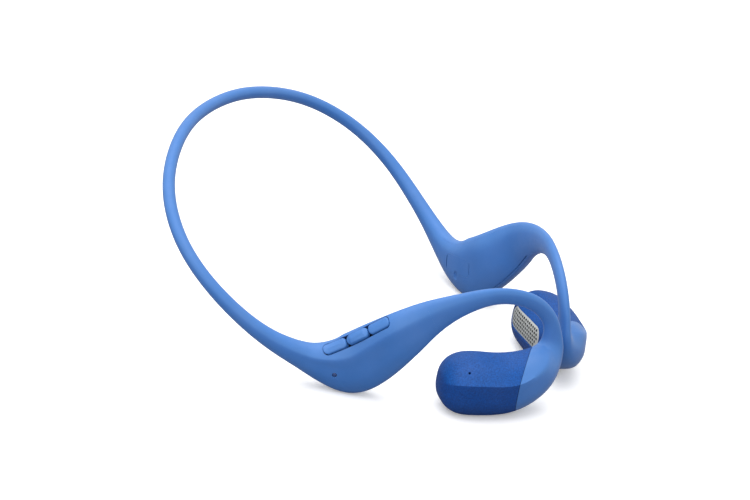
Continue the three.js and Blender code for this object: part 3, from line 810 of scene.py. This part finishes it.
BLUE = srgb(56, 110, 183)
BLUE_PAINTED_TOP_LIGHT = srgb(66, 120, 190)  # painted highlight: faces that look up are a little paler, as if lit from above
# Satin sheen of the plastic, together with the painted highlight on faces that look up.
SATIN_AND_PAINTED_TOP = {"top": BLUE_PAINTED_TOP_LIGHT, "Sheen_Weight": 0.2, "Sheen_Roughness": 0.4}
looks = {
    "soft_blue": material("soft_blue", BLUE, 0.52, 0.00018, 0.000006, **SATIN_AND_PAINTED_TOP),
    "shell_blue": material("shell_blue", BLUE, 0.5, 0.00018, 0.000006, bevel=0.00004, **SATIN_AND_PAINTED_TOP),
    # The buttons' faces that look up also get the painted highlight.
    "button_blue": material("button_blue", BLUE, 0.46, 0.0002, 0.000006, bevel=0.00006, top=BLUE_PAINTED_TOP_LIGHT),
    # The pod cap's faces that look up get a paler painted highlight, as if lit from above; its speckle is
    # the real grain of the cap.
    "pod_navy": material("pod_navy", srgb(8, 64, 138), 0.55, 0.00022, 0.00002, bevel=0.00008, speckle=0.28,
                         top=srgb(10, 76, 152), Specular_IOR_Level=0.3),
    "seal_rubber": material("seal_rubber", srgb(28, 34, 46), 0.75, 0.0003, 0.00002),
    "spring_metal": material("spring_metal", (0.5, 0.52, 0.55), 0.3, 0.0001, 0.000004, metal=1.0,
                             stretch=(1, 1, 20)),
    "cable_sheath": material("cable_sheath", (0.4, 0.09, 0.03), 0.45, 0.0004, 0.00001),
    "circuit_board": material("circuit_board", (0.02, 0.1, 0.045), 0.4, 0.0008, 0.00002, mottle=0.1),
    "acoustic_mesh": material("acoustic_mesh", (0.006, 0.006, 0.007), 0.9, 0.00015, 0.00005, weave=True),
    "diaphragm_film": material("diaphragm_film", (0.7, 0.63, 0.5), 0.35, 0.0006, 0.00003),
    "driver_plastic": material("driver_plastic", (0.012, 0.012, 0.013), 0.5, 0.0003, 0.00001),
    "foam": material("foam", (0.01, 0.01, 0.011), 0.95, 0.0004, 0.0001, mottle=0.15),
    "cell_wrap": material("cell_wrap", (0.35, 0.38, 0.42), 0.35, 0.0006, 0.00003, metal=0.8),
    "light_clear": material("light_clear", srgb(34, 66, 124), 0.15, 0.0005, 0.000003, Coat_Weight=0.6),
    "grille_metal": material("grille_metal", srgb(225, 228, 226), 0.42, 0.00008, 0.000004, metal=0.9,
                             stretch=(6, 1, 1), mottle=0.05),
    "plated_metal": material("plated_metal", (0.62, 0.64, 0.67), 0.28, 0.0003, 0.000004, metal=1.0),
}

# ---------- pieces on their bodies ----------


def finish_piece(obj, slot_name, nodes=()):
    """Gives a piece the look of its slot, and puts it in the place of these nodes."""
    obj.data.materials.clear()
    obj.data.materials.append(looks[slot_name])
    if nodes:
        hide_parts(*nodes)


left_band, right_band = band, mirror(band, "right_band")
sides = {
    "left": {"sign": 1, "band": left_band, "hook": hook, "cap": pod_cap, "grille": grille, "cloth": cloth},
    "right": {"sign": -1, "band": right_band, "hook": mirror(hook, "right_hook_skin"),
              "cap": mirror(pod_cap, "right_pod_cover"), "grille": mirror(grille, "right_grille"),
              "cloth": mirror(cloth, "right_grille_cloth")},
}
band_bend = pick(even[0], np.array([where("apex", distance) for distance in BAND_BEND])) * MM
flex = pick(even[0], np.array([where("rise", HOOK_BEND["from_rise"])]))[0]
for side, parts in sides.items():
    neck_nodes = ["neckband_spring_wire", "neckband_cable", "band_sleeve_rear"] if side == "left" else []
    finish_piece(parts["band"], "soft_blue", [f"band_sleeve_{side}", *neck_nodes])
    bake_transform(parts["band"])
    finish_piece(parts["hook"], "soft_blue", [f"{side}_{n}" for n in (
        "hook_sleeve_rear", "hook_sleeve_front", "hook_spring_wire", "hook_cable", "pod_base")])
    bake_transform(parts["hook"])
    finish_piece(parts["cap"], "pod_navy", [f"{side}_pod_cap"])
    finish_piece(parts["grille"], "grille_metal", [f"{side}_speaker_grille"])
    finish_piece(parts["cloth"], "acoustic_mesh", [f"{side}_grille_mesh"])
    for part in ("cap", "grille", "cloth"):
        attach(parts[part], f"{side}_pod")

for obj, body, slot_name, node in (
    (left_outer, "left_arm", "shell_blue", "left_housing_outer"),
    (left_inner, "left_arm", "shell_blue", "left_housing_inner"),
    (right_outer, "right_arm", "shell_blue", "right_housing_outer"),
    (right_inner, "right_arm", "shell_blue", "right_housing_inner"),
    (cover, "port_cover", "soft_blue", "charging_port_cover"),
    (light_pipe, "right_arm", "light_clear", "status_light_pipe"),
    *((cap, body, "button_blue", f"{body}_button") for body, cap in buttons.items()),
):
    finish_piece(obj, slot_name, [node])
    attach(obj, body)

slot_of = {part["node"]: part["material_slot"] for part in frame["record"]["subparts"]}
for node, obj in frame["nodes"].items():
    obj.data.materials.clear()
    obj.data.materials.append(looks[slot_of[node]])

# ---------- floor, light and camera ----------

FLOOR = {"reach": 9000, "sunk": 0.00002, "bounce": 0.3, "glow": 0.25}  # reach in mm, sunk in metres
reach = FLOOR["reach"]
floor_corners = [(-reach, -reach, 0), (reach, -reach, 0), (reach, reach, 0), (-reach, reach, 0)]
floor = new_object("floor", floor_corners, [(0, 1, 2, 3)])
floor.location.z = -FLOOR["sunk"]
floor_mat = material("floor_white", (0.9, 0.9, 0.9), 0.8, 0.002, 0.00001, mottle=0.004)
links, nodes = floor_mat.node_tree.links, floor_mat.node_tree.nodes
floor.data.materials.append(floor_mat)
# The camera sees a bright floor, but little light bounces from it onto the headphones.
rays = nodes.new("ShaderNodeLightPath")
seen = nodes.new("ShaderNodeMixShader")
dim = nodes.new("ShaderNodeBsdfDiffuse")
dim.inputs["Color"].default_value = (*[FLOOR["bounce"]] * 3, 1)
shader = nodes["Principled BSDF"]
shader.inputs["Emission Color"].default_value = (1, 1, 1, 1)
shader.inputs["Emission Strength"].default_value = FLOOR["glow"]
links.new(rays.outputs["Is Camera Ray"], seen.inputs["Fac"])
links.new(dim.outputs["BSDF"], seen.inputs[1])
links.new(shader.outputs["BSDF"], seen.inputs[2])
links.new(seen.outputs["Shader"], nodes["Material Output"].inputs["Surface"])


def sun(name, toward, strength, angle):
    """A soft directional light that shines from this direction."""
    light = bpy.data.lights.new(name, "SUN")
    light.energy = strength
    light.angle = math.radians(angle)
    obj = bpy.data.objects.new(name, light)
    obj.rotation_euler = Vector(toward).to_track_quat("Z", "Y").to_euler()
    bpy.context.scene.collection.objects.link(obj)


sun("top_light", (0.05, 0.25, 1), 2.0, 70)
sun("fill_light", (-1, -0.1, 0.5), 1.0, 90)
world = bpy.data.worlds.new("studio")
world.use_nodes = True
world.node_tree.nodes["Background"].inputs["Color"].default_value = (1, 1, 1, 1)
world.node_tree.nodes["Background"].inputs["Strength"].default_value = 0.8
bpy.context.scene.world = world
bpy.context.scene.view_settings.view_transform = "Standard"

# Azimuth 0 looks along +y and azimuth 90 along -x. The roll turns the camera about its line of sight.
CAMERA = {"target": (0.00936, 0.00536, 0.02192), "distance": 1.47558, "azimuth": -68.289,
          "elevation": 25.982, "roll": 11.081, "lens": 216, "sensor": 36}
azimuth, elevation = math.radians(CAMERA["azimuth"]), math.radians(CAMERA["elevation"])
away = Vector((math.sin(azimuth) * math.cos(elevation), -math.cos(azimuth) * math.cos(elevation),
               math.sin(elevation)))
camera_data = bpy.data.cameras.new("camera")
camera_data.lens = CAMERA["lens"]
camera_data.sensor_width = CAMERA["sensor"]
camera_data.clip_start = 0.05
camera_data.clip_end = 60
camera = bpy.data.objects.new("camera", camera_data)
level = away.to_track_quat("Z", "Y").to_matrix().to_4x4()
roll = Matrix.Rotation(math.radians(CAMERA["roll"]), 4, "Z")
spot = Vector(CAMERA["target"]) + CAMERA["distance"] * away
camera.matrix_world = Matrix.Translation(spot) @ level @ roll
bpy.context.scene.collection.objects.link(camera)
bpy.context.scene.camera = camera
